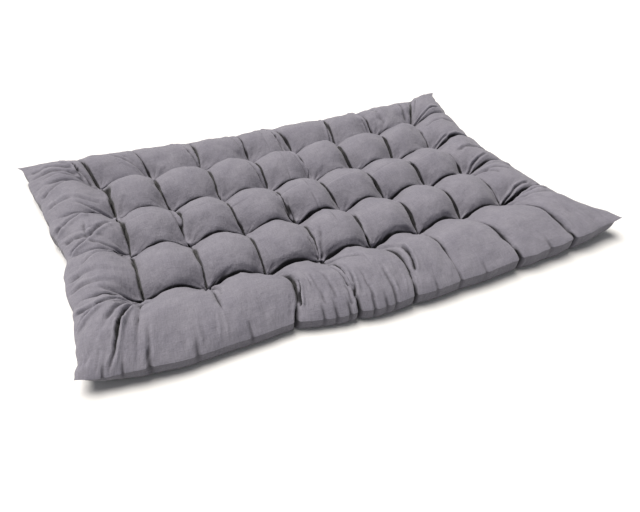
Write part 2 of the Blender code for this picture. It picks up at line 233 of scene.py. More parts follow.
# Folds laid in the top panel.  Each runs from one place to another, in cells, and bends to its left
# by so many millimetres; half its width and its depth at both ends are in millimetres, and with a
# lean its left side stands higher than its right.
#         u0    v0    u1    v1  bend width deep0 deep1 lean
FOLDS = ((0.99, 1.01, 0.50, 1.12, 6, 5, 9, 2, 0.5), (0.99, 0.98, 0.06, 0.64, -16, 5, 3, 8, 0.5),
         (1.00, 0.97, 0.57, 0.60, -8, 7, 13, 3, 0.6), (0.94, 0.88, 0.74, 0.50, -4, 6, 8, 9, 0.6),
         (0.74, 0.50, 0.55, 0.03, 4, 6, 9, 5, 0.4), (0.57, 0.60, 0.12, 0.16, 4, 10, 2, 1, 0.2),
         (1.00, 2.02, 0.42, 2.20, 8, 5, 10, 2, 0.6), (0.97, 1.96, 0.30, 1.74, -12, 6, 4, 2, 0.3),
         (0.97, 1.95, 0.95, 1.84, 0, 4, 5, 2, 0.0), (0.75, 2.56, 0.10, 2.10, 4, 6, 4, 9, 0.5),
         (0.46, 2.60, 0.38, 2.36, 0, 6, 2, 3, 0.3), (0.97, 2.98, 0.04, 2.66, -14, 6, 3, 7, 0.5),
         (1.00, 3.01, 0.55, 3.22, 6, 5, 10, 2, 0.6), (0.95, 2.90, 0.35, 2.86, -8, 6, 3, 1, 0.3),
         (1.00, 2.95, 0.94, 2.74, 0, 6, 12, 5, 0.0), (1.93, 2.40, 2.00, 2.04, 0, 4, 4, 8, 0.4),
         (0.90, 3.96, 0.10, 3.70, -20, 6, 3, 3, 0.3), (0.90, 4.04, 0.25, 4.20, -10, 6, 3, 2, 0.3),
         (2.00, 0.99, 1.92, 0.92, 0, 4, 7, 3, 0.0), (2.02, 0.97, 2.10, 0.62, 8, 5, 5, 2, 0.4),
         (1.12, 0.36, 1.12, 0.00, 0, 4, 2, 5, 0.2), (3.10, 0.46, 3.06, 0.18, -4, 4, 3, 8, 0.4),
         (3.35, 0.52, 3.37, 0.38, 0, 5, 2, 2, 0.0), (4.02, 0.99, 4.42, 0.66, -14, 6, 5, 2, 0.5),
         (3.98, 0.96, 3.90, 0.70, 2, 5, 5, 1, 0.4), (3.86, 0.66, 3.95, 0.30, 4, 4, 1, 5, 0.7),
         (4.06, 0.60, 4.00, 0.16, 6, 4, 1, 6, 0.7), (3.90, 0.38, 3.90, 0.10, 0, 4, 1, 4, 0.6),
         (4.22, 0.45, 4.26, 0.12, 0, 4, 1, 3, 0.5), (3.62, 0.55, 3.68, 0.20, 4, 5, 1, 3, 0.5),
         (3.46, 0.50, 3.50, 0.15, 0, 5, 1, 3, 0.4), (4.60, 0.40, 4.64, 0.04, 0, 4, 1, 5, 0.6),
         (5.20, 0.62, 5.13, 0.30, 6, 6, 4, 7, 0.4), (5.02, 0.97, 5.16, 0.55, 8, 7, 4, 3, 0.4),
         (8.35, 0.96, 8.90, 1.00, -6, 5, 6, 5, 0.5), (8.25, 0.93, 8.80, 0.86, -6, 6, 3, 3, 0.4),
         (8.20, 0.89, 8.65, 0.72, -6, 6, 3, 2, 0.4), (8.08, 1.92, 8.35, 1.55, 6, 6, 4, 2, 0.3),
         (8.45, 1.85, 8.85, 1.70, 4, 6, 2, 3, 0.2), (1.92, 4.10, 1.40, 4.70, -6, 6, 4, 5, 0.3),
         (1.86, 4.30, 1.62, 4.75, 4, 7, 3, 3, 0.3), (0.88, 4.12, 0.66, 4.70, -4, 5, 5, 7, 0.4),
         (2.94, 4.15, 2.72, 4.80, 0, 5, 5, 6, 0.4), (3.92, 4.30, 3.84, 4.80, 6, 8, 3, 4, 0.2),
         (4.86, 4.12, 4.74, 4.75, 4, 5, 5, 6, 0.4), (8.05, 4.10, 8.20, 4.70, 4, 6, 3, 3, 0.2),
         (8.04, 1.03, 8.62, 1.10, 8, 4, 6, 3, 0.3), (8.08, 1.01, 8.85, 0.93, 6, 5, 4, 3, -0.4),
         (8.12, 0.97, 8.72, 0.78, 8, 5, 5, 3, -0.5), (8.06, 2.02, 8.60, 2.15, 8, 4, 6, 3, 0.3),
         (8.22, 1.78, 8.60, 1.55, 4, 6, 4, 3, 0.4), (8.05, 3.01, 8.42, 3.10, 6, 4, 6, 2, 0.2),
         (8.48, 3.04, 8.96, 2.95, 0, 6, 5, 8, 0.5), (8.05, 4.02, 8.70, 4.16, 8, 4, 6, 3, 0.3),
         (8.30, 2.45, 8.85, 2.40, 6, 7, 3, 4, 0.4), (8.25, 3.60, 8.80, 3.55, 4, 7, 2, 4, 0.3),
         (3.86, 1.32, 3.97, 1.05, 0, 5, 3, 7, 0.4), (4.20, 1.45, 4.06, 1.08, 0, 5, 2, 5, -0.3),
         (4.88, 1.70, 4.99, 1.10, 4, 6, 5, 8, 0.4), (5.08, 1.60, 5.03, 1.15, 0, 5, 3, 6, -0.3),
         (3.86, 2.45, 3.98, 2.06, 0, 6, 4, 7, 0.4), (4.10, 2.35, 4.03, 2.06, 0, 5, 3, 5, -0.3),
         (4.72, 3.60, 4.96, 3.06, 0, 6, 5, 7, 0.4), (4.92, 3.75, 4.99, 3.08, 4, 5, 4, 6, -0.3),
         (3.70, 3.70, 3.95, 3.08, 0, 6, 3, 6, 0.3), (1.86, 2.56, 1.97, 2.10, 0, 6, 6, 8, 0.5),
         (0.15, 3.35, 0.75, 3.28, 10, 8, 3, 2, 0.3), (0.10, 2.35, 0.60, 2.28, 6, 7, 4, 2, 0.3),
         (0.08, 1.50, 0.70, 1.42, 8, 9, 4, 1, 0.3), (0.06, 1.25, 0.60, 1.22, 6, 7, 4, 2, 0.3),
         (0.06, 0.85, 0.62, 0.86, -8, 6, 5, 4, 0.4), (0.12, 4.55, 0.62, 4.40, 8, 7, 3, 3, 0.4),
         (0.10, 4.35, 0.70, 4.22, 8, 7, 3, 4, 0.4), (5.90, 4.12, 6.00, 4.85, 4, 5, 6, 6, 0.4),
         (6.90, 4.10, 6.82, 4.85, 4, 5, 6, 7, 0.4), (7.85, 4.25, 7.78, 4.70, 0, 6, 4, 4, 0.3),
         (4.80, 4.10, 4.66, 4.90, 0, 5, 5, 6, -0.3), (7.30, 4.20, 7.22, 4.80, 0, 8, 3, 4, 0.3),
         (0.80, 4.20, 0.72, 4.85, 0, 5, 7, 6, 0.5))


def metres(millimetres):
    return millimetres / 1000.0


# ---- shape of the cloth --------------------------------------------------------------------------
def smooth_step(value):
    """Ease from 0 to 1 with level ends: three times the square less twice the cube."""
    value = np.clip(value, 0.0, 1.0)
    return value * value * (3.0 - 2.0 * value)


def lattice_noise(x, y, seed):
    """Smooth noise from -1 to 1: seeded random numbers on whole places, eased between them."""
    table = np.random.default_rng(seed).uniform(-1.0, 1.0, (257, 257))
    left, low = np.floor(x).astype(int), np.floor(y).astype(int)
    ease_x, ease_y = smooth_step(x - left), smooth_step(y - low)
    left, low = left % 256, low % 256
    near = table[left, low] * (1.0 - ease_x) + table[left + 1, low] * ease_x
    far = table[left, low + 1] * (1.0 - ease_x) + table[left + 1, low + 1] * ease_x
    return near * (1.0 - ease_y) + far * ease_y


def along(place, cells, pitch, margin_low, margin_high):
    """Distance from the middle tufts: cells of one pitch, with wider margins at both ends."""
    inner = (cells - 2) / 2 * pitch
    middle = (place - cells / 2) * pitch
    low = -inner - (1.0 - place) * margin_low
    high = inner + (place - cells + 1.0) * margin_high
    return np.where(place < 1.0, low, np.where(place > cells - 1.0, high, middle))


def flat_x(u):
    return along(u, CELLS_X, PITCH_X, MARGIN_LEFT, MARGIN_RIGHT)


def flat_y(v):
    return along(v, CELLS_Y, PITCH_Y, MARGIN_NEAR, MARGIN_FAR)


def nearness_to_edge(place, cells):
    """1 on a seam, 0 from the first tufts inwards."""
    return np.maximum(np.maximum(1.0 - place, place - cells + 1.0), 0.0)


def nearness_to_seam(u, v):
    """1 on the nearest of the four seams, 0 from the outer tufts inwards."""
    return np.maximum(nearness_to_edge(u, CELLS_X), nearness_to_edge(v, CELLS_Y))


def nearest_line(place, tufts):
    """Number, counted from 1, of the line of tufts that is nearest."""
    return np.clip(np.round(place), 1, tufts).astype(int)


def crown(place, cells, crest):
    """Round profile of the pillows along one side, 0 on creases and seams and 1 on crests: one
    less a power of the distance from the crest, raised to a lower power so that it is blunt."""
    edge = nearness_to_edge(place, cells)
    from_seam = np.clip((1.0 - edge) / crest, 0.0, 1.0)
    outer = (1.0 - (1.0 - from_seam) ** 2) ** 0.80
    from_crease = np.where(edge > 0.0, edge / (1.0 - crest),
                           1.0 - np.abs(2.0 * (place % 1.0) - 1.0))
    from_crease = np.clip(from_crease, 0.0, 1.0)
    inner = (1.0 - (1.0 - from_crease) ** 2.2) ** 0.62
    return np.where(edge > 1.0 - crest, outer, inner)


def crease_share(across, cells_across, along_it, cells_along, crest, share):
    """Height of a crease as a share of the crown: shallow where it runs out at a seam, none on
    the seam itself."""
    run_out = nearness_to_edge(along_it, cells_along) ** 1.5
    height = share + (CREASE_EDGE - share) * run_out
    return np.where(nearness_to_edge(across, cells_across) > 1.0 - crest, 0.0, height)


def filled_share(across, cells_across, along_it, cells_along, low_side, high_side):
    """How far a margin's crease is filled out: the share of the nearest line of tufts on that
    side, eased in from the tufts."""
    line = nearest_line(across, cells_across - 1) - 1
    share = np.where(along_it < cells_along / 2, np.array(low_side)[line],
                     np.array(high_side)[line])
    return share * smooth_step(nearness_to_edge(along_it, cells_along) / FILLED_REACH)


def fullness(u, v, share_across, share_along, filled=0.0):
    """How far the cloth stands out from its tufts: the product of both round profiles, and on a
    crease the other profile by that crease's share or as far as the margin is filled out."""
    round_x = crown(u, CELLS_X, CREST_X)
    round_y = crown(v, CELLS_Y, CREST_Y)
    share_x = crease_share(u, CELLS_X, v, CELLS_Y, CREST_X, share_across)
    share_y = crease_share(v, CELLS_Y, u, CELLS_X, CREST_Y, share_along)
    share_x = np.maximum(share_x, filled * filled_share(u, CELLS_X, v, CELLS_Y, NEAR_FILLED,
                                                        FAR_FILLED) * (share_x > 0.0))
    share_y = np.maximum(share_y, filled * filled_share(v, CELLS_Y, u, CELLS_X, LEFT_FILLED,
                                                        RIGHT_FILLED) * (share_y > 0.0))
    return (round_x * round_y
            + share_x * (1.0 - round_x) * round_y
            + share_y * (1.0 - round_y) * round_x)


def pillow_scale(u, v):
    """Neighbouring pillows differ a little in height, by a sine of the column times a cosine of
    the row, and margin pillows are lower."""
    column = np.minimum(np.floor(u), CELLS_X - 1)
    row = np.minimum(np.floor(v), CELLS_Y - 1)
    mood = np.sin(2.7 * column + 1.3 * row) * np.cos(1.9 * row - 0.8 * column)
    edge = nearness_to_seam(u, v)
    far = np.maximum(v - CELLS_Y + 1.0, 0.0)
    lower = 1.0 - (1.0 - MARGIN_CROWN) * smooth_step(3.0 * edge)
    lower = lower - (MARGIN_CROWN - FAR_CROWN) * smooth_step(3.0 * far)
    return lower * (1.0 + CROWN_SPREAD * mood)


def row_wander(u, v):
    """Drift along X of the tuft rows, straight from one row to the next."""
    drift, spread = (np.interp(v - 1.0, np.arange(TUFT_ROWS), column)
                     for column in np.transpose(ROW_WANDER))
    side = (u - CELLS_X / 2) / (CELLS_X / 2)
    return (drift + spread * side) * (1.0 - smooth_step(nearness_to_edge(v, CELLS_Y)))


def between_corners(place, cells):
    """1 where a crease meets a seam, 0 half a pillow away and past the outer tufts."""
    wave = np.abs(np.cos(np.pi * place)) ** 6
    return np.where(nearness_to_edge(place, cells) > 0.5, 0.0, wave)


def column_notch(u, side_y):
    """How far the nearest column's crease draws in the long seam on this side."""
    column = nearest_line(u, TUFT_COLUMNS) - 1
    notches = np.array(COLUMN_NOTCHES)
    return np.where(side_y < 0, NEAR_NOTCH_SHARE * notches[column, 0], notches[column, 1])


def crease_bow(u, v):
    """How far the cloth beside a column's crease is carried along X by the crease's bow, half a
    sine wave along its span; nothing halfway to the next column."""
    column = nearest_line(u, TUFT_COLUMNS) - 1
    span = np.clip(np.floor(v), 0, CELLS_Y - 1).astype(int)
    bow = np.array(COLUMN_BOW)[span, column] * np.sin(np.pi * (v - span))
    return metres(bow) * smooth_step(1.0 - 2.0 * np.abs(u - column - 1.0))


def crease_drift(u, v):
    """How far the creases have drifted along X on their way to a long seam: straight from column
    to column, and growing with the nearness to the seam."""
    columns = np.arange(CELLS_X + 1)
    near = np.interp(u, columns, [0.0, *NEAR_DRIFT, 0.0]) * np.maximum(1.0 - v, 0.0)
    far = np.interp(u, columns, [0.0, *FAR_DRIFT, 0.0]) * np.maximum(v - CELLS_Y + 1.0, 0.0)
    return PITCH_X * (near + far)


def from_table(table, column, place):
    """A column of a table at places between its rows, in metres."""
    rows = np.array(table)
    return metres(np.interp(place, rows[:, 0], rows[:, column]))


def seam_draw(u, v):
    """How far the seams are drawn in, fading towards the first tufts, and along the seam a fine
    unevenness of its own."""
    left = smooth_step(1.0 - u)
    right = smooth_step(u - CELLS_X + 1.0)
    near = smooth_step(1.0 - v)
    far = smooth_step(v - CELLS_Y + 1.0)
    draw_x = from_table(LEFT_SEAM, 1, v) * left - from_table(RIGHT_SEAM, 1, v) * right
    draw_y = from_table(NEAR_SEAM, 1, u) * near - from_table(FAR_SEAM, 1, u) * far
    fine_x = lattice_noise(flat_y(v) / SEAM_WAVE, u / CELLS_X * 9.0, SEAM_SEEDS[0])
    fine_y = lattice_noise(flat_x(u) / SEAM_WAVE, v / CELLS_Y * 9.0, SEAM_SEEDS[1])
    draw_x = draw_x + SEAM_ROUGHNESS * fine_x * (left ** 8 + right ** 8)
    draw_y = draw_y + SEAM_ROUGHNESS * fine_y * (0.5 * near ** 8 + far ** 8)
    return draw_x, draw_y


def corner_nearness(side_x, side_y, corner_x, corner_y):
    """1 at a corner, falling to 0 on the mattress's two middle lines."""
    return np.maximum(side_x * corner_x, 0.0) * np.maximum(side_y * corner_y, 0.0)


def plan_point(u, v):
    """Place of the cloth seen from above, with its bow, scallops and pulled corners, and the
    height that a corner's lift adds."""
    x = flat_x(u)
    y = flat_y(v)
    side_x = x / HALF_X
    side_y = y / HALF_Y

    draw_x = smooth_step(nearness_to_edge(u, CELLS_X)) * between_corners(v, CELLS_Y)
    draw_y = smooth_step(nearness_to_edge(v, CELLS_Y)) * between_corners(u, CELLS_X)
    x = x - np.copysign(SCALLOP * draw_x, side_x)
    y = y - np.copysign(column_notch(u, side_y) * draw_y, side_y)
    seam_x, seam_y = seam_draw(u, v)

    x = x + row_wander(u, v) + crease_drift(u, v) + seam_x
    y = y + seam_y
    y = y + BOW * (side_x ** 2 - 0.33) + TAPER * side_x * side_y
    y = y - NEAR_SLANT * side_x * smooth_step(1.0 - v)

    lift = np.zeros_like(x)
    for corner_x, corner_y, out_x, out_y, rise, _ in CORNERS:
        pull = corner_nearness(side_x, side_y, corner_x, corner_y) ** CORNER_REACH
        x = x + corner_x * out_x * pull
        y = y + corner_y * out_y * pull
        lift = lift + rise * pull
    return x, y, lift


def near_sink(u, v):
    """How far the near seam and the cloth beside it hang lower, fading towards the tufts."""
    return from_table(NEAR_SEAM, 2, u) * smooth_step(1.0 - v)


def seam_share(u, v):
    """1 on the sewn edge, fading to 0 at the outer tufts."""
    return smooth_step(nearness_to_seam(u, v))


def top_panel(u, v, sizes):
    """Places of the top panel before it is blown up: a rise of fullness times crown over a base
    that climbs from the tufts to the seam."""
    x, y, lift = plan_point(u, v)
    x = x + crease_bow(u, v)
    inner = 1.0 - smooth_step(1.6 * nearness_to_seam(u, v))
    height = sizes.margin_crown + (sizes.slack_crown - sizes.margin_crown) * inner
    base = TUFT_HEIGHT + (SEAM_HEIGHT - TUFT_HEIGHT) * seam_share(u, v) - near_sink(u, v)
    full = fullness(u, v, sizes.crease_across, sizes.crease_along, filled=1.0)
    return np.stack([x, y, base + (height - base) * full * pillow_scale(u, v) + lift], axis=-1)


def rolled_place(place, cells, margin, share):
    """Move places near a seam outwards, so that the underside drops steeply below the seam."""
    inward = (1.0 - nearness_to_edge(place, cells)) * margin
    shift = share * (inward - inward ** 2 / EDGE_ROLL) / margin
    shift = np.where(inward >= EDGE_ROLL, 0.0, shift)
    return np.where(place < cells / 2, place - shift, place + shift)


def drop_below_seam(place, cells, margin):
    """0 on the seam, 1 where the underside has come down to the floor, by a quarter sine."""
    inward = (1.0 - nearness_to_edge(place, cells)) * margin
    return np.sin(np.minimum(inward / EDGE_DROP, 1.0) * np.pi / 2)


def under_panel(u, v):
    """Places of the underside: it falls from the seam to the floor, lies flat on it under each
    pillow and rises to the tufts."""
    margin_x = np.where(u < CELLS_X / 2, MARGIN_LEFT, MARGIN_RIGHT)
    margin_y = np.where(v < CELLS_Y / 2, MARGIN_NEAR, MARGIN_FAR)
    drop_x = drop_below_seam(u, CELLS_X, margin_x)
    drop_y = drop_below_seam(v, CELLS_Y, margin_y)
    drop = drop_x * drop_y
    across = rolled_place(u, CELLS_X, margin_x, drop_y)
    up = rolled_place(v, CELLS_Y, margin_y, drop_x)
    x, y, lift = plan_point(across, up)
    sag = np.maximum(TUFT_LIFT - UNDER_DEPTH * fullness(u, v, 0.28, 0.38), 0.0)
    inner = 1.0 - seam_share(u, v)
    seam = SEAM_HEIGHT + lift - near_sink(u, v)
    z = seam * (1.0 - drop) + sag * inner * drop
    flat = np.zeros_like(z)
    for corner_x, corner_y, *_, thin in CORNERS:
        near = corner_nearness(flat_x(u) / HALF_X, flat_y(v) / HALF_Y, corner_x, corner_y)
        flat = np.maximum(flat, near ** thin)
    z = z + (seam - z) * np.minimum(1.25 * flat, 1.0) * (1.0 - 0.12 * drop)
    return np.stack([x, y, z], axis=-1)


# ---- grids ---------------------------------------------------------------------------------------
def cell_lines(cells, lines, crowding):
    """Places of the cloth's lines along one side: in each cell the even spacing less a sine of
    itself, so that they crowd beside the creases."""
    even = np.arange(lines) / lines
    one = even - crowding * np.sin(2.0 * np.pi * even) / (2.0 * np.pi)
    return np.append((np.arange(cells)[:, None] + one).ravel(), float(cells))


def refinement(cells, coarse, fine):
    """Matrix that carries values on the coarse lines of one side to the fine places: in each cell
    a cubic through the four nearest coarse lines, so that a crease between cells stays sharp."""
    coarse_count = (len(coarse) - 1) // cells
    cell = np.minimum(fine.astype(int), cells - 1)
    step = np.clip(np.searchsorted(coarse, fine, side="right") - 1 - cell * coarse_count,
                   0, coarse_count - 1)
    first = cell * coarse_count + np.clip(step - 1, 0, coarse_count - 3)
    matrix = np.zeros((len(fine), len(coarse)))
    rows = np.arange(len(fine))
    for node in range(4):
        weight = np.ones(len(fine))
        for other in range(4):
            if other != node:
                weight = weight * ((fine - coarse[first + other])
                                   / (coarse[first + node] - coarse[first + other]))
        matrix[rows, first + node] = weight
    return matrix


def border_faces(number, below):
    """Faces of the underside that touch the seam, where the top has two steps for every one below:
    five corners each, and six at the four corners of the cloth."""
    def side(first, middle, last, inner_last, inner_first):
        return np.stack([first, middle, last, inner_last, inner_first], axis=-1)

    near = side(below[1:-2, 0], number[3:-3:2, 0], below[2:-1, 0], below[2:-1, 1], below[1:-2, 1])
    far = side(below[2:-1, -1], number[3:-3:2, -1], below[1:-2, -1], below[1:-2, -2],
               below[2:-1, -2])
    left = side(below[0, 2:-1], number[0, 3:-3:2], below[0, 1:-2], below[1, 1:-2], below[1, 2:-1])
    right = side(below[-1, 1:-2], number[-1, 3:-3:2], below[-1, 2:-1], below[-2, 2:-1],
                 below[-2, 1:-2])
    corners = np.array([
        [below[0, 1], number[0, 1], below[0, 0], number[1, 0], below[1, 0], below[1, 1]],
        [below[-2, 0], number[-2, 0], below[-1, 0], number[-1, 1], below[-1, 1], below[-2, 1]],
        [below[-1, -2], number[-1, -2], below[-1, -1], number[-2, -1], below[-2, -1],
         below[-2, -2]],
        [below[1, -1], number[1, -1], below[0, -1], number[0, -2], below[0, -2], below[1, -2]]])
    return np.concatenate([near, far, left, right])[:, ::-1], corners[:, ::-1]


def sewn_mesh(name, top, under):
    """One closed mesh from two grids of places, an upper and a lower one that is as fine or half
    as fine; they share the upper one's outer ring."""
    number = np.arange(top.shape[0] * top.shape[1]).reshape(top.shape[:2])
    half = under.shape[0] < top.shape[0]
    below = number[::2, ::2].copy() if half else number.copy()
    inside = np.zeros(under.shape[:2], bool)
    inside[1:-1, 1:-1] = True
    below[inside] = number.size + np.arange(inside.sum())
    places = np.concatenate([top.reshape(-1, 3), under[inside]])

    def quads(index, order):
        ring = np.stack([index[:-1, :-1], index[1:, :-1], index[1:, 1:], index[:-1, 1:]], axis=-1)
        return ring.reshape(-1, 4)[:, order]

    faces = [quads(number, [0, 1, 2, 3])]
    if half:
        faces += [quads(below[1:-1, 1:-1], [0, 3, 2, 1]), *border_faces(number, below)]
    else:
        faces += [quads(below, [0, 3, 2, 1])]
    sides = np.concatenate([np.full(len(part), part.shape[1]) for part in faces])
    loops = np.concatenate([part.ravel() for part in faces])
    mesh = bpy.data.meshes.new(name)
    mesh.vertices.add(len(places))
    mesh.vertices.foreach_set("co", places.astype(np.float32).ravel())
    mesh.loops.add(len(loops))
    mesh.loops.foreach_set("vertex_index", loops.astype(np.int32))
    mesh.polygons.add(len(sides))
    starts = np.concatenate([[0], np.cumsum(sides)[:-1]])
    mesh.polygons.foreach_set("loop_start", starts.astype(np.int32))
    mesh.update(calc_edges=True)
    mesh.validate()
    return mesh, number, below, inside


def read_places(mesh):
    """All vertices of a mesh as an array."""
    places = np.empty(len(mesh.vertices) * 3, np.float32)
    mesh.vertices.foreach_get("co", places)
    return places.reshape(-1, 3).astype(float)


def corner_vertices(mesh):
    """Which vertex each corner of a face lies on."""
    corners = np.empty(len(mesh.loops), np.int32)
    mesh.loops.foreach_get("vertex_index", corners)
    return corners


def soften(values, steps):
    """Spread each value over its neighbours: the mean of every place with the four beside it,
    taken several times over."""
    for _ in range(steps):
        padded = np.pad(values, ((1, 1), (1, 1), (0, 0)), mode="edge")
        values = 0.5 * values + 0.125 * (padded[:-2, 1:-1] + padded[2:, 1:-1]
                                         + padded[1:-1, :-2] + padded[1:-1, 2:])
    return values


# ---- cloth simulation ----------------------------------------------------------------------------
def is_tuft(u, v):
    """Where the tufts are: whole numbers of cells, away from the seams."""
    on_u = np.isclose(u, np.round(u)) & (nearness_to_edge(u, CELLS_X) < 0.5)
    on_v = np.isclose(v, np.round(v)) & (nearness_to_edge(v, CELLS_Y) < 0.5)
    return on_u & on_v


def growth_share(u, v):
    """How much of the cloth's growth a place gets: all on inner pillows, part in the margins and
    none on the seam."""
    edge = nearness_to_seam(u, v)
    return np.where(edge > 0.0, 0.45 * (1.0 - smooth_step(edge)), 1.0)


def blow_up(u, v, top, under, sizes):
    """Fill the cushion: Blender's Cloth with pressure and growing cloth, held at its seam, tufts
    and underside.  Gives the top panel's new places."""
    mesh, number, below, inside = sewn_mesh("filling", top, under)
    piece = bpy.data.objects.new("filling", mesh)
    bpy.context.scene.collection.objects.link(piece)
    pins = piece.vertex_groups.new(name="held")
    pins.add(number[is_tuft(u, v) | ~inside].tolist(), 1.0, "REPLACE")
    pins.add(below[inside].tolist(), 1.0, "REPLACE")
    stays = piece.vertex_groups.new(name="stays")
    for index, weight in zip(number.ravel().tolist(), 1.0 - growth_share(u, v).ravel()):
        stays.add([index], float(weight), "REPLACE")
    stays.add(below[inside].tolist(), 1.0, "REPLACE")

    cloth = piece.modifiers.new("fill", "CLOTH")
    settings = cloth.settings
    for name, value in CLOTH_SETTINGS.items():
        setattr(settings, name, value)
    settings.tension_stiffness = sizes.stiffness
    settings.compression_stiffness = sizes.stiffness
    settings.shear_stiffness = sizes.stiffness * 0.3
    settings.bending_stiffness = sizes.bending
    settings.vertex_group_mass = "held"
    settings.vertex_group_shrink = "stays"
    settings.shrink_min = -sizes.growth
    settings.shrink_max = 0.0
    settings.uniform_pressure_force = sizes.pressure
    settings.effector_weights.gravity = 0.0
    cloth.collision_settings.use_collision = False
    cloth.collision_settings.use_self_collision = False
    cloth.point_cache.frame_start = 1
    cloth.point_cache.frame_end = sizes.steps

    scene = bpy.context.scene
    scene.frame_start, scene.frame_end = 1, sizes.steps
    for step in range(1, sizes.steps + 1):
        scene.frame_set(step)
    graph = bpy.context.evaluated_depsgraph_get()
    filled = bpy.data.meshes.new_from_object(piece.evaluated_get(graph))
    places = read_places(filled)[number]
    bpy.data.objects.remove(piece, do_unlink=True)
    bpy.data.meshes.remove(filled)
    bpy.data.meshes.remove(mesh)
    scene.frame_set(1)
    return places


def capped_moves(u, v, top, filled, sizes):
    """Keep each move under its cap, which shrinks to nothing on the seam, by a hyperbolic
    tangent, and keep cloth from crossing its crease."""
    moves = filled - top
    edge = nearness_to_seam(u, v)
    cap = sizes.most_move * (1.0 - 0.9 * smooth_step(edge * 1.15))[..., None]
    length = np.linalg.norm(moves, axis=-1, keepdims=True)
    moves = moves * cap * np.tanh(length / cap) / np.maximum(length, 1e-9)
    beside_x = PITCH_X * np.abs(u - np.round(u))
    beside_y = PITCH_Y * np.abs(v - np.round(v))
    smooth = soften(moves, 2)
    on_crease = (beside_x < 1e-9) | (beside_y < 1e-9)
    moves = np.where(on_crease[..., None], moves, smooth)
    most = np.stack([GAP_SHARE[0] * beside_x, GAP_SHARE[1] * beside_y], axis=-1)
    moves[..., :2] = np.clip(moves[..., :2], -most, most)
    return moves


def settled(u, v, top):
    """Let each pillow fall away towards its creases and tufts as its filling settles: by the square
    of the nearness to the row's crease and to the column's, and by a bell curve about the tuft."""
    column, row = nearest_line(u, TUFT_COLUMNS), nearest_line(v, TUFT_ROWS)
    by_column = np.maximum(1.0 - 2.0 * np.abs(u - column), 0.0) ** 2
    by_row = np.maximum(1.0 - 2.0 * np.abs(v - row), 0.0) ** 2
    by_column = by_column * (1.0 - smooth_step(1.6 * nearness_to_edge(v, CELLS_Y)))
    by_row = by_row * (1.0 - smooth_step(1.6 * nearness_to_edge(u, CELLS_X)))
    share = np.array(ROUNDED_ROWS)[row - 1] + ROUNDED_RIGHT * u / CELLS_X
    kept = (1.0 - share * by_row) * (1.0 - ROUNDED_COLUMNS * by_column)
    height = top[..., 2]
    height = height - np.maximum(height - CREASE_LEVEL, 0.0) * (1.0 - kept)
    away = np.hypot(flat_x(u) - flat_x(column), flat_y(v) - flat_y(row))
    hollow = HOLLOW * bump(away, HOLLOW_WIDTH)
    height = height - np.maximum(height - TUFT_HEIGHT, 0.0) * hollow
    return np.stack([top[..., 0], top[..., 1], height], axis=-1)


# ---- folds and creases ---------------------------------------------------------------------------
def bump(distance, width):
    """Bell curve: one at no distance, e to the minus one at one width."""
    return np.exp(-(distance / width) ** 2)


def trough(distance, width, lean):
    """Section of a fold across its line: a bell-shaped dip between two shoulders, and with a lean
    the left one stands higher and wider and the right one lower."""
    across = distance / width
    dip = -np.exp(-across ** 2)
    left = (0.35 + 0.55 * lean) * np.exp(-((across - 1.9) / 1.25) ** 2)
    right = (0.35 - 0.35 * lean) * np.exp(-(across + 1.9) ** 2)
    return dip + left + right


def laid_folds(u, v):
    """Height that the folds in the table add: each is its section times a depth that changes
    evenly along it and dies away past its ends, and both its line and its depth waver."""
    x, y = flat_x(u), flat_y(v)
    height = np.zeros_like(x)
    for number, (u0, v0, u1, v1, bend, width, deep0, deep1, lean) in enumerate(FOLDS):
        start = np.array([flat_x(u0), flat_y(v0)])
        end = np.array([flat_x(u1), flat_y(v1)])
        length = np.hypot(*(end - start))
        run = (end - start) / length
        along_it = (x - start[0]) * run[0] + (y - start[1]) * run[1]
        aside = (y - start[1]) * run[0] - (x - start[0]) * run[1]
        near = (np.abs(aside) < FOLD_ASIDE) & (np.abs(along_it - length / 2)
                                               < length / 2 + FOLD_PAST)
        along_it, aside = along_it[near], aside[near]
        inside = np.clip(along_it / length, 0.0, 1.0)
        waver = lattice_noise(along_it / WAVER_LENGTH + 20.0,
                              np.full_like(along_it, 5.3 * number), FOLD_SEEDS[0])
        swell = lattice_noise(along_it / SWELL_LENGTH + 20.0,
                              np.full_like(along_it, 3.7 * number), FOLD_SEEDS[1])
        aside = aside - metres(bend) * 4.0 * inside * (1.0 - inside) - metres(FOLD_WAVER) * waver
        past = np.maximum(np.abs(along_it - length / 2) - length / 2, 0.0)
        depth = metres(deep0 + (deep1 - deep0) * inside) * bump(past, FOLD_END * metres(width))
        depth = FOLD_DEPTH * depth * (1.0 + FOLD_SWELL * swell)
        height[near] += depth * trough(aside, metres(width), lean)
    return height


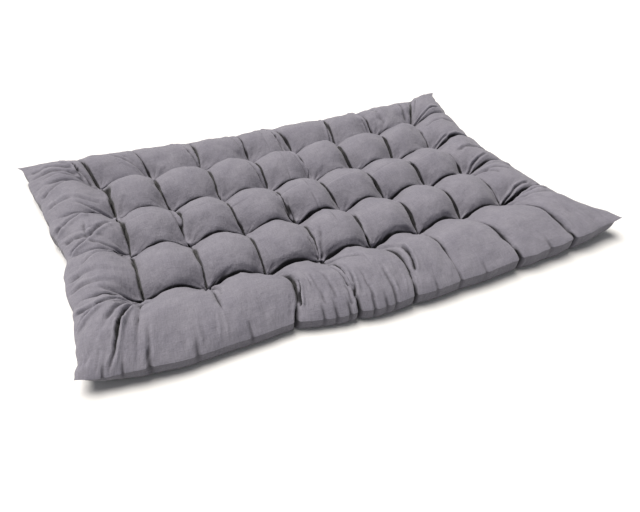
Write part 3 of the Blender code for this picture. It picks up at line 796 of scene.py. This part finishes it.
def crease_cuts(u, v):
    """Depth of the cuts along the creases: for each line of tufts, a bell curve of the distance
    from it, with the depth that the tables give for the span."""
    column = nearest_line(u, TUFT_COLUMNS) - 1
    row = nearest_line(v, TUFT_ROWS) - 1
    span = np.clip(np.floor(v), 0, CELLS_Y - 1).astype(int)
    part = np.where(u < 1.0, 0, np.where(u > CELLS_X - 1.0, 2, 1))
    from_column = np.abs(flat_x(u) - flat_x(column + 1.0))
    from_row = np.abs(flat_y(v) - flat_y(row + 1.0))
    step = v - span
    full = np.sin(np.pi * np.clip(step, 0.0, 1.0)) ** 0.35
    run_out_v = nearness_to_edge(v, CELLS_Y)
    full = np.where(run_out_v > 0.0, np.minimum(1.0, 6.0 * run_out_v) * (1.0 - 0.8 * run_out_v),
                    full)
    run_out_u = nearness_to_edge(u, CELLS_X)
    along_row = np.where(run_out_u > 0.0,
                         np.minimum(1.0, 6.0 * run_out_u) * (1.0 - 0.9 * run_out_u),
                         np.sin(np.pi * (u % 1.0)) ** 0.35)
    down = metres(np.array(COLUMN_CUT)[span, column]) * full * bump(from_column, CUT_WIDTH)
    across = metres(np.array(ROW_CUT)[row, part]) * along_row * bump(from_row, CUT_WIDTH)
    return np.maximum(down, across)


def seam_slits(u, v):
    """How far the near edge is drawn in by its slits and tucks: each a narrow bell curve along the
    seam, dying away from it."""
    drawn = np.zeros_like(u)
    for place, deep in NEAR_SLITS:
        away = flat_x(u) - flat_x(place)
        drawn = np.maximum(drawn, metres(deep) * bump(away, SLIT_WIDTH))
    return drawn * bump(v * MARGIN_NEAR, SLIT_REACH)


def tuft_puckers(u, v):
    """Short folds that fan out from every tuft: narrow ridges at uneven angles, each tuft with its
    own, strongest a little way out and gone before the next crest."""
    x, y = flat_x(u), flat_y(v)
    column, row = nearest_line(u, TUFT_COLUMNS), nearest_line(v, TUFT_ROWS)
    away_x, away_y = x - flat_x(column), y - flat_y(row)
    away = np.hypot(away_x, away_y)
    turn = np.arctan2(away_y, away_x) / math.pi * PUCKERS
    which = column + 10.0 * row
    broad, narrow, far = PUCKER_SEEDS
    fan = lattice_noise(turn + 64.0, which * 3.0 + away / 0.045, broad)
    fan = fan + 0.7 * lattice_noise(2.1 * turn + 64.0, which * 5.0 + away / 0.030, narrow)
    uneven = lattice_noise(which * 7.0, turn / 3.0 + 9.0, far)
    steps_out = away / (PUCKER_REACH + PUCKER_UNEVEN * uneven)
    return metres(PUCKER_HEIGHT) * fan * steps_out * np.exp(1.0 - steps_out)


def crumpled_cloth(u, v):
    """Unevenness of the whole panel: broad dents, finer ones, and gathers that run in from the
    near seam."""
    x, y = flat_x(u), flat_y(v)
    dents = sum(metres(height) * lattice_noise(x / long + start, y / wide + start, seed)
                for height, long, wide, start, seed in DENTS)
    line_seed, sway_seed, zone_seed = GATHER_SEEDS
    sway = 0.3 * lattice_noise(y / 0.05, x / 0.05, sway_seed)
    line = lattice_noise(x / GATHER_PITCH + sway, y / GATHER_LENGTH + 17.0, line_seed)
    gather = 1.0 - np.abs(line) * 2.0
    zone = np.clip(1.3 * lattice_noise(x / 0.22 + 3.0, y / 0.4 + 5.0, zone_seed) + 0.5, 0.15, 1.0)
    from_seam = flat_y(v) - flat_y(0.0)
    reach = smooth_step(from_seam / 0.02) * (1.0 - smooth_step(from_seam / GATHER_REACH))
    return dents + metres(GATHER_HEIGHT) * gather * zone * reach


def seam_puckers(u, v):
    """Short puckers square to the seam where the stitches draw the cloth together: noise along
    the seam, gone a few centimetres in."""
    x, y = flat_x(u), flat_y(v)
    in_x = np.minimum(x - flat_x(0.0), flat_x(CELLS_X) - x)
    in_y = np.minimum(y - flat_y(0.0), flat_y(CELLS_Y) - y)
    ends, sides = STITCH_SEEDS
    by_ends = lattice_noise(y / STITCH_PITCH, x / 0.06, ends) * np.exp(-in_x / STITCH_REACH)
    by_sides = lattice_noise(x / STITCH_PITCH, y / 0.06, sides) * np.exp(-in_y / STITCH_REACH)
    return metres(STITCH_HEIGHT) * (by_ends + by_sides)


def outward_normals(places):
    """Unit normals of a grid of places, from the cross product of its two directions."""
    normal = np.cross(np.gradient(places, axis=0), np.gradient(places, axis=1))
    return normal / np.maximum(np.linalg.norm(normal, axis=-1, keepdims=True), 1e-12)


def folded_top(u, v, top):
    """The top panel with its creases cut, its folds laid and its cloth crumpled; nothing moves on
    the seam but the slits."""
    edge = nearness_to_seam(u, v)
    loose = smooth_step((1.0 - edge) * 9.0)
    relief = laid_folds(u, v) + tuft_puckers(u, v) + crumpled_cloth(u, v) + seam_puckers(u, v)
    top = top + (relief * loose)[..., None] * outward_normals(top)
    top[..., 2] -= crease_cuts(u, v) * loose
    top[..., 1] += seam_slits(u, v)
    return top


# ---- the padded piece ----------------------------------------------------------------------------
def write_cloth_map(mesh, number, below, inside, u, v):
    """A UV map in metres of flat cloth, along the length and across it, for the weave."""
    flat = np.empty((len(mesh.vertices), 2), np.float32)
    plan = np.stack([flat_x(u), flat_y(v)], axis=-1)
    flat[number.ravel()] = plan.reshape(-1, 2)
    flat[below[inside]] = plan[::2, ::2][inside]
    corners = corner_vertices(mesh)
    layer = mesh.uv_layers.new(name="cloth_metres")
    layer.data.foreach_set("uv", flat[corners].ravel())


def open_sky(top):
    """Share of the sky that a place sees across the nearest crease: half a turn less the steepest
    rise to either side within a few centimetres, in the closer of the grid's two directions."""
    opening = np.ones(top.shape[:2])
    for axis in (0, 1):
        rises = np.zeros((2, *top.shape[:2]))
        for step in SKY_STEPS:
            for side, way in enumerate((step, -step)):
                pad = [(0, 0), (0, 0), (0, 0)]
                pad[axis] = (step, step)
                padded = np.pad(top, pad, mode="edge")
                away = np.take(padded, np.arange(top.shape[axis]) + step + way, axis=axis) - top
                flat = np.maximum(np.hypot(away[..., 0], away[..., 1]), 1e-6)
                rises[side] = np.maximum(rises[side], np.arctan2(away[..., 2], flat))
        opening = np.minimum(opening, 1.0 - rises.sum(axis=0) / math.pi)
    return opening


def painted_shade_and_highlight(top):
    """How light the cloth is painted: painted shade where it lies below the mean of its
    surroundings, as in a crease, a little painted highlight on a ridge, and the most painted shade
    where a crease closes over it."""
    out = outward_normals(soften(top, 4))
    tone = np.ones(top.shape[:2])
    # Painted shade in hollows and painted highlight on ridges, at three sizes.
    for steps, depth, painted_shade, painted_highlight in SHADE_AND_HIGHLIGHT_SCALES:
        below = np.sum((soften(top, steps) - top) * out, axis=-1)
        tone = tone * (1.0 - painted_shade * smooth_step(below / depth)
                       + painted_highlight * smooth_step(-below / depth))
    # Painted shade where a crease closes over the cloth, full where the least sky is open.
    closed = smooth_step((OPEN_UNSHADED - open_sky(top)) / (OPEN_UNSHADED - OPEN_SHADED))
    return tone * (1.0 - CREASE_SHADE * closed)


def write_shading_and_side_tone(mesh, number, top_shading, below, side_tone_and_slit_shade):
    """The top's painted shading as an attribute of the faces' corners, and the side's own tone with
    its painted slit shade from the seam down, so that the change is crisp."""
    upper = np.ones(len(mesh.vertices))
    upper[number.ravel()] = top_shading.ravel()
    lower = np.ones(len(mesh.vertices))
    lower[number.ravel()] = side_tone_and_slit_shade.ravel()
    lower[below.ravel()] = side_tone_and_slit_shade[::2, ::2].ravel()
    corners = corner_vertices(mesh)
    top_corners = 4 * (number.shape[0] - 1) * (number.shape[1] - 1)
    values = np.concatenate([upper[corners[:top_corners]], lower[corners[top_corners:]]])
    layer = mesh.attributes.new("shading_and_side_tone", "FLOAT", "CORNER")
    layer.data.foreach_set("value", values.astype(np.float32))


def sharpen_seam(mesh, number):
    """Mark the sewn ring's edges sharp, so that the top and the side meet in a crisp line."""
    on_ring = np.zeros(len(mesh.vertices), bool)
    on_ring[np.concatenate([number[0], number[-1], number[:, 0], number[:, -1]])] = True
    ends = np.empty(len(mesh.edges) * 2, np.int32)
    mesh.edges.foreach_get("vertices", ends)
    both = on_ring[ends.reshape(-1, 2)].all(axis=1)
    mesh.attributes.new("sharp_edge", "BOOLEAN", "EDGE").data.foreach_set("value", both)


def padded_body(sizes):
    """The whole cushion, from slack cloth to finished mesh."""
    coarse = (cell_lines(CELLS_X, SIM_LINES[0], SIM_CROWDING),
              cell_lines(CELLS_Y, SIM_LINES[1], SIM_CROWDING))
    u, v = np.meshgrid(*coarse, indexing="ij")
    top = top_panel(u, v, sizes)
    moves = capped_moves(u, v, top, blow_up(u, v, top, under_panel(u, v), sizes), sizes)

    fine = (cell_lines(CELLS_X, FINE_LINES[0], FINE_CROWDING),
            cell_lines(CELLS_Y, FINE_LINES[1], FINE_CROWDING))
    u, v = np.meshgrid(*fine, indexing="ij")
    moves = np.einsum("ai,bj,ijk->abk", refinement(CELLS_X, coarse[0], fine[0]),
                      refinement(CELLS_Y, coarse[1], fine[1]), moves, optimize=True)
    shift = np.array([SHIFT_X, SHIFT_Y, 0.0])
    top = folded_top(u, v, settled(u, v, top_panel(u, v, sizes) + moves)) + shift
    lower_u, lower_v = u[::2, ::2], v[::2, ::2]
    under = under_panel(lower_u, lower_v) + shift
    under[..., 1] += seam_slits(lower_u, lower_v)
    mesh, number, below, inside = sewn_mesh("mattress_cover", top, under)
    write_cloth_map(mesh, number, below, inside, u, v)
    # Painted shade in the near edge's slits, darker the deeper a slit is drawn in.
    painted_slit_shade = np.clip(1.0 - SLIT_SHADE * seam_slits(u, v), SLIT_TONE_LEAST, 1.0)
    write_shading_and_side_tone(mesh, number, painted_shade_and_highlight(top) * painted_slit_shade, below, SIDE_TONE * painted_slit_shade)
    mesh.shade_smooth()
    sharpen_seam(mesh, number)
    return mesh


# ---- materials -----------------------------------------------------------------------------------
# The cotton's noises: size along the cloth and across it in millimetres, and detail.
COTTON_NOISES = {"slubs along": (26.0, 2.6, 2.0),
                 "slubs across": (2.6, 26.0, 2.0),
                 "clouds of dye": (60.0, 60.0, 3.0),
                 "grain": (2.8, 2.8, 2.0),
                 "creasing": (9.0, 14.0, 4.0)}
WEAVE_PITCH = 3.2           # of the weave as it is drawn, in millimetres
SHADE_MIDDLE = 0.57         # what the shares of shade below come to on average
FLOOR_WHITE, LIGHT_WHITE, SKY_WHITE = "#f2f2f2", "#fffaf3", "#fbfcff"
FLOOR_REACH = 12.0


def linear(hex_colour):
    """An sRGB hex colour as linear red, green, blue and alpha."""
    parts = [int(hex_colour[i:i + 2], 16) / 255.0 for i in (1, 3, 5)]
    return tuple(p / 12.92 if p <= 0.04045 else ((p + 0.055) / 1.055) ** 2.4
                 for p in parts) + (1.0,)


def add_node(tree, kind, settings=None, values=None, links=None):
    """Add a node, set its properties and unlinked sockets, and link its other sockets."""
    node = tree.nodes.new(kind)
    for key, value in (settings or {}).items():
        setattr(node, key, value)
    for key, value in (values or {}).items():
        node.inputs[key].default_value = value
    for key, source in (links or {}).items():
        tree.links.new(source, node.inputs[key])
    return node


def weighted_sum(tree, parts):
    """Sum of socket times weight."""
    total = None
    for socket, weight in parts:
        if total is None:
            total = add_node(tree, "ShaderNodeMath", {"operation": "MULTIPLY"}, {1: weight},
                             {0: socket}).outputs[0]
        else:
            total = add_node(tree, "ShaderNodeMath", {"operation": "MULTIPLY_ADD"}, {1: weight},
                             {0: socket, 2: total}).outputs[0]
    return total


def woven_cotton(settings):
    """Plain-woven cotton canvas, dyed in the piece and washed: matt with a faint nap, slubs along
    both threads, cloudy where the dye took unevenly, and finely creased."""
    material = bpy.data.materials.new("woven_cotton")
    material.use_nodes = True
    tree = material.node_tree
    shader = tree.nodes["Principled BSDF"]
    shader.inputs["Roughness"].default_value = 0.92
    shader.inputs["Specular IOR Level"].default_value = 0.2
    shader.inputs["Sheen Weight"].default_value = 0.18
    shader.inputs["Sheen Roughness"].default_value = 0.45
    material.diffuse_color = linear(settings.cloth_colour_hex)

    cloth = add_node(tree, "ShaderNodeUVMap", {"uv_map": "cloth_metres"}).outputs["UV"]
    noises = []
    for size_x, size_y, detail in COTTON_NOISES.values():
        placed = add_node(tree, "ShaderNodeMapping", {"vector_type": "POINT"},
                          {"Scale": (1.0 / metres(size_x), 1.0 / metres(size_y), 1.0)},
                          {"Vector": cloth})
        noises.append(add_node(tree, "ShaderNodeTexNoise", {"noise_dimensions": "2D"},
                               {"Scale": 1.0, "Detail": detail, "Roughness": 0.6},
                               {"Vector": placed.outputs[0]}).outputs["Fac"])
    slubs_along, slubs_across, clouds, grain, creasing = noises

    # The threads lie about 0.6 mm apart, too fine to show from a room away: drawn coarser.
    axes = add_node(tree, "ShaderNodeSeparateXYZ", links={"Vector": cloth})
    waves = []
    for axis in ("X", "Y"):
        turned = add_node(tree, "ShaderNodeMath", {"operation": "MULTIPLY"},
                          {1: 2.0 * math.pi / metres(WEAVE_PITCH)}, {0: axes.outputs[axis]})
        waves.append(add_node(tree, "ShaderNodeMath", {"operation": "SINE"},
                              links={0: turned.outputs[0]}).outputs[0])
    weave = add_node(tree, "ShaderNodeMath", {"operation": "MULTIPLY"},
                     links={0: waves[0], 1: waves[1]}).outputs[0]

    height = weighted_sum(tree, ((weave, metres(0.10)), (slubs_along, metres(0.7)),
                                 (slubs_across, metres(0.7)), (creasing, metres(3.0)),
                                 (grain, metres(0.6))))
    bumps = add_node(tree, "ShaderNodeBump", values={"Strength": 0.8, "Distance": 1.0},
                     links={"Height": height})
    tree.links.new(bumps.outputs["Normal"], shader.inputs["Normal"])

    shade = weighted_sum(tree, ((slubs_along, 0.28), (slubs_across, 0.28), (clouds, 0.24),
                                (grain, 0.34), (weave, 0.04)))
    centred = add_node(tree, "ShaderNodeMath", {"operation": "ADD"}, {1: 1.0 - SHADE_MIDDLE},
                       {0: shade})
    # The base colour is scaled by the painted shade in creases, hollows and slits, the painted
    # highlight on ridges, and the side's tone.
    tone = add_node(tree, "ShaderNodeAttribute", {"attribute_name": "shading_and_side_tone"})
    factor = add_node(tree, "ShaderNodeMath", {"operation": "MULTIPLY"},
                      links={0: centred.outputs[0], 1: tone.outputs["Fac"]})
    hue = add_node(tree, "ShaderNodeMix", {"data_type": "RGBA"},
                   {6: linear(settings.cloth_colour_hex), 7: linear(settings.cloth_warm_hex)},
                   {0: clouds})
    colour = add_node(tree, "ShaderNodeVectorMath", {"operation": "SCALE"},
                      links={0: hue.outputs[2], "Scale": factor.outputs[0]})
    tree.links.new(colour.outputs[0], shader.inputs["Base Color"])
    return material


# ---- settings ------------------------------------------------------------------------------------
class MattressSizes(bpy.types.PropertyGroup):
    """Sizes of the padding and of the cloth that holds it."""
    slack_crown: bpy.props.FloatProperty(
        name="Slack crown", description="Top of an inner pillow before it is blown up",
        default=0.085, min=0.05, max=0.2, unit="LENGTH")
    margin_crown: bpy.props.FloatProperty(
        name="Margin crown", description="Top of a margin pillow before it is blown up",
        default=0.100, min=0.05, max=0.2, unit="LENGTH")
    crease_across: bpy.props.FloatProperty(
        name="Creases across", description="Height of a crease between neighbours along the "
        "length, as a share of the crown", default=0.24, min=0.0, max=1.0, subtype="FACTOR")
    crease_along: bpy.props.FloatProperty(
        name="Creases along", description="Height of a crease between neighbours across the "
        "width, as a share of the crown", default=0.34, min=0.0, max=1.0, subtype="FACTOR")
    growth: bpy.props.FloatProperty(
        name="Growth", description="How much the cloth grows while it is blown up",
        default=0.18, min=0.0, max=0.5, subtype="FACTOR")
    pressure: bpy.props.FloatProperty(
        name="Pressure", description="Pressure of the filling", default=3.0, min=0.0, max=20.0)
    stiffness: bpy.props.FloatProperty(
        name="Stiffness", description="How hard the cloth is to stretch", default=20.0,
        min=0.0, max=100.0)
    bending: bpy.props.FloatProperty(
        name="Bending", description="How hard the cloth is to bend", default=0.02,
        min=0.0, max=10.0)
    most_move: bpy.props.FloatProperty(
        name="Most movement", description="Cap on how far the cloth moves as it is blown up",
        default=0.045, min=0.0, max=0.1, unit="LENGTH")
    steps: bpy.props.IntProperty(
        name="Steps", description="Frames of simulation", default=14, min=1, max=60)
    cloth_colour_hex: bpy.props.StringProperty(
        name="Cloth colour", description="Grey of the cotton, as an sRGB hex value",
        default="#7d7b87")
    cloth_warm_hex: bpy.props.StringProperty(
        name="Warmer colour", description="Grey where the dye took less, as an sRGB hex value",
        default="#83818a")


class StageSettings(bpy.types.PropertyGroup):
    """Camera, lights and floor."""
    lens: bpy.props.FloatProperty(
        name="Lens", description="Focal length on a 36 mm sensor", default=34.92, min=10.0,
        max=200.0)
    turned: bpy.props.FloatProperty(
        name="Turned", description="How far the camera stands round from the front",
        default=math.radians(-27.04), subtype="ANGLE", unit="ROTATION")
    above: bpy.props.FloatProperty(
        name="Above", description="How far the camera stands above the floor",
        default=math.radians(38.39), subtype="ANGLE", unit="ROTATION")
    roll: bpy.props.FloatProperty(
        name="Roll", description="How far the camera leans", default=math.radians(2.70),
        subtype="ANGLE", unit="ROTATION")
    distance: bpy.props.FloatProperty(
        name="Distance", description="From the camera to the point it looks at",
        default=1.841, min=0.1, unit="LENGTH")
    overhead: bpy.props.FloatProperty(
        name="Overhead light", description="Brightness that the overhead light alone gives to a "
        "white floor", default=1.40, min=0.0)
    softness: bpy.props.FloatProperty(
        name="Softness", description="How wide the overhead light is in the sky",
        default=math.radians(50.0), subtype="ANGLE", unit="ROTATION")
    light_from: bpy.props.FloatVectorProperty(
        name="Light from", description="Direction that the overhead light comes from",
        default=(-0.24, 0.35, 1.0), subtype="DIRECTION")
    surround: bpy.props.FloatProperty(
        name="Surround", description="Brightness of the white surroundings overhead",
        default=0.15, min=0.0)
    horizon: bpy.props.FloatProperty(
        name="Horizon", description="Brightness of the white surroundings at eye level",
        default=0.90, min=0.0)
    look: bpy.props.FloatVectorProperty(
        name="Looks at", description="The point that the camera looks at",
        default=(-0.1174, -0.2968, 0.05), subtype="TRANSLATION", unit="LENGTH")


# ---- operators -----------------------------------------------------------------------------------
class MATTRESS_OT_cover(bpy.types.Operator):
    """Make the padded body in its cotton cover"""
    bl_idname = "mattress.cover"
    bl_label = "Padded body"

    def execute(self, context):
        sizes = context.scene.mattress_sizes
        piece = bpy.data.objects.new("mattress_cover", padded_body(sizes))
        context.scene.collection.objects.link(piece)
        piece.data.materials.append(woven_cotton(sizes))
        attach(piece, "root")
        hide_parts("mattress")
        return {"FINISHED"}


def aimed(place, target):
    """Turn that points a light or camera's -Z from place to target."""
    return (Vector(target) - Vector(place)).to_track_quat("-Z", "Y").to_euler()


def matt_white_paint():
    """Matt white wall paint, rolled: no gloss to mirror the piece."""
    material = bpy.data.materials.new("matt_white_paint")
    material.use_nodes = True
    shader = material.node_tree.nodes["Principled BSDF"]
    shader.inputs["Base Color"].default_value = linear(FLOOR_WHITE)
    shader.inputs["Roughness"].default_value = 1.0
    shader.inputs["Specular IOR Level"].default_value = 0.1
    return material


def studio_surroundings(stage):
    """White surroundings, bright all round at eye level and dimmer overhead: the brightness
    overhead plus the rest times a power of the closeness to the horizon."""
    world = bpy.data.worlds.new("studio")
    world.use_nodes = True
    tree = world.node_tree
    direction = add_node(tree, "ShaderNodeTexCoord").outputs["Generated"]
    upward = add_node(tree, "ShaderNodeSeparateXYZ", links={"Vector": direction}).outputs["Z"]
    level = add_node(tree, "ShaderNodeMath", {"operation": "SUBTRACT", "use_clamp": True},
                     {0: 1.0}, {1: upward}).outputs[0]
    nearly = add_node(tree, "ShaderNodeMath", {"operation": "POWER"}, {1: 4.0},
                      {0: level}).outputs[0]
    strength = add_node(tree, "ShaderNodeMath", {"operation": "MULTIPLY_ADD"},
                        {1: stage.horizon - stage.surround, 2: stage.surround},
                        {0: nearly}).outputs[0]
    background = tree.nodes["Background"]
    background.inputs["Color"].default_value = linear(SKY_WHITE)
    tree.links.new(strength, background.inputs["Strength"])
    return world


def camera_matrix(stage):
    """The camera's place: back from the point it looks at by its turn and height, then rolled
    about its own axis."""
    turned, above, roll = stage.turned, stage.above, stage.roll
    back = Vector((math.sin(turned) * math.cos(above), -math.cos(turned) * math.cos(above),
                   math.sin(above)))
    level = Vector((math.cos(turned), math.sin(turned), 0.0))
    upright = back.cross(level)
    right = level * math.cos(roll) + upright * math.sin(roll)
    up = upright * math.cos(roll) - level * math.sin(roll)
    place = Vector(stage.look) + back * stage.distance
    turn = Matrix((right, up, back)).transposed().to_4x4()
    return Matrix.Translation(place) @ turn


class MATTRESS_OT_stage(bpy.types.Operator):
    """Make the floor, the soft studio light and the camera"""
    bl_idname = "mattress.stage"
    bl_label = "Stage"

    def execute(self, context):
        scene = context.scene
        stage = scene.mattress_stage
        floor = bpy.data.meshes.new("studio_floor")
        floor.from_pydata([(FLOOR_REACH * x, FLOOR_REACH * y, 0.0)
                           for x, y in ((-1, -1), (1, -1), (1, 1), (-1, 1))], [], [(0, 1, 2, 3)])
        floor_object = bpy.data.objects.new("studio_floor", floor)
        scene.collection.objects.link(floor_object)
        floor.materials.append(matt_white_paint())

        scene.world = studio_surroundings(stage)
        soft = bpy.data.lights.new("overhead", "SUN")
        soft.energy = stage.overhead * math.pi
        soft.angle = stage.softness
        soft.color = linear(LIGHT_WHITE)[:3]
        light = bpy.data.objects.new("overhead", soft)
        light.rotation_euler = aimed(stage.light_from, (0.0, 0.0, 0.0))
        scene.collection.objects.link(light)

        lens = bpy.data.cameras.new("camera")
        lens.sensor_width = 36.0
        lens.lens = stage.lens
        camera = bpy.data.objects.new("camera", lens)
        camera.matrix_world = camera_matrix(stage)
        scene.collection.objects.link(camera)
        scene.camera = camera
        scene.view_settings.view_transform = "Standard"
        return {"FINISHED"}


class MATTRESS_PT_sidebar(bpy.types.Panel):
    """Lists what the add-on makes"""
    bl_label = "Tufted mattress"
    bl_idname = "MATTRESS_PT_sidebar"
    bl_space_type = "VIEW_3D"
    bl_region_type = "UI"
    bl_category = "Mattress"

    def draw(self, context):
        for operator, settings in ((MATTRESS_OT_cover, context.scene.mattress_sizes),
                                   (MATTRESS_OT_stage, context.scene.mattress_stage)):
            box = self.layout.box()
            box.operator(operator.bl_idname)
            for name in settings.__annotations__:
                box.prop(settings, name)


CLASSES = (MattressSizes, StageSettings, MATTRESS_OT_cover, MATTRESS_OT_stage,
           MATTRESS_PT_sidebar)


def register():
    for one in CLASSES:
        bpy.utils.register_class(one)
    bpy.types.Scene.mattress_sizes = bpy.props.PointerProperty(type=MattressSizes)
    bpy.types.Scene.mattress_stage = bpy.props.PointerProperty(type=StageSettings)


def unregister():
    del bpy.types.Scene.mattress_stage
    del bpy.types.Scene.mattress_sizes
    for one in reversed(CLASSES):
        bpy.utils.unregister_class(one)


def main():
    register()
    bpy.ops.mattress.cover()
    bpy.ops.mattress.stage()


if __name__ == "__main__":
    main()
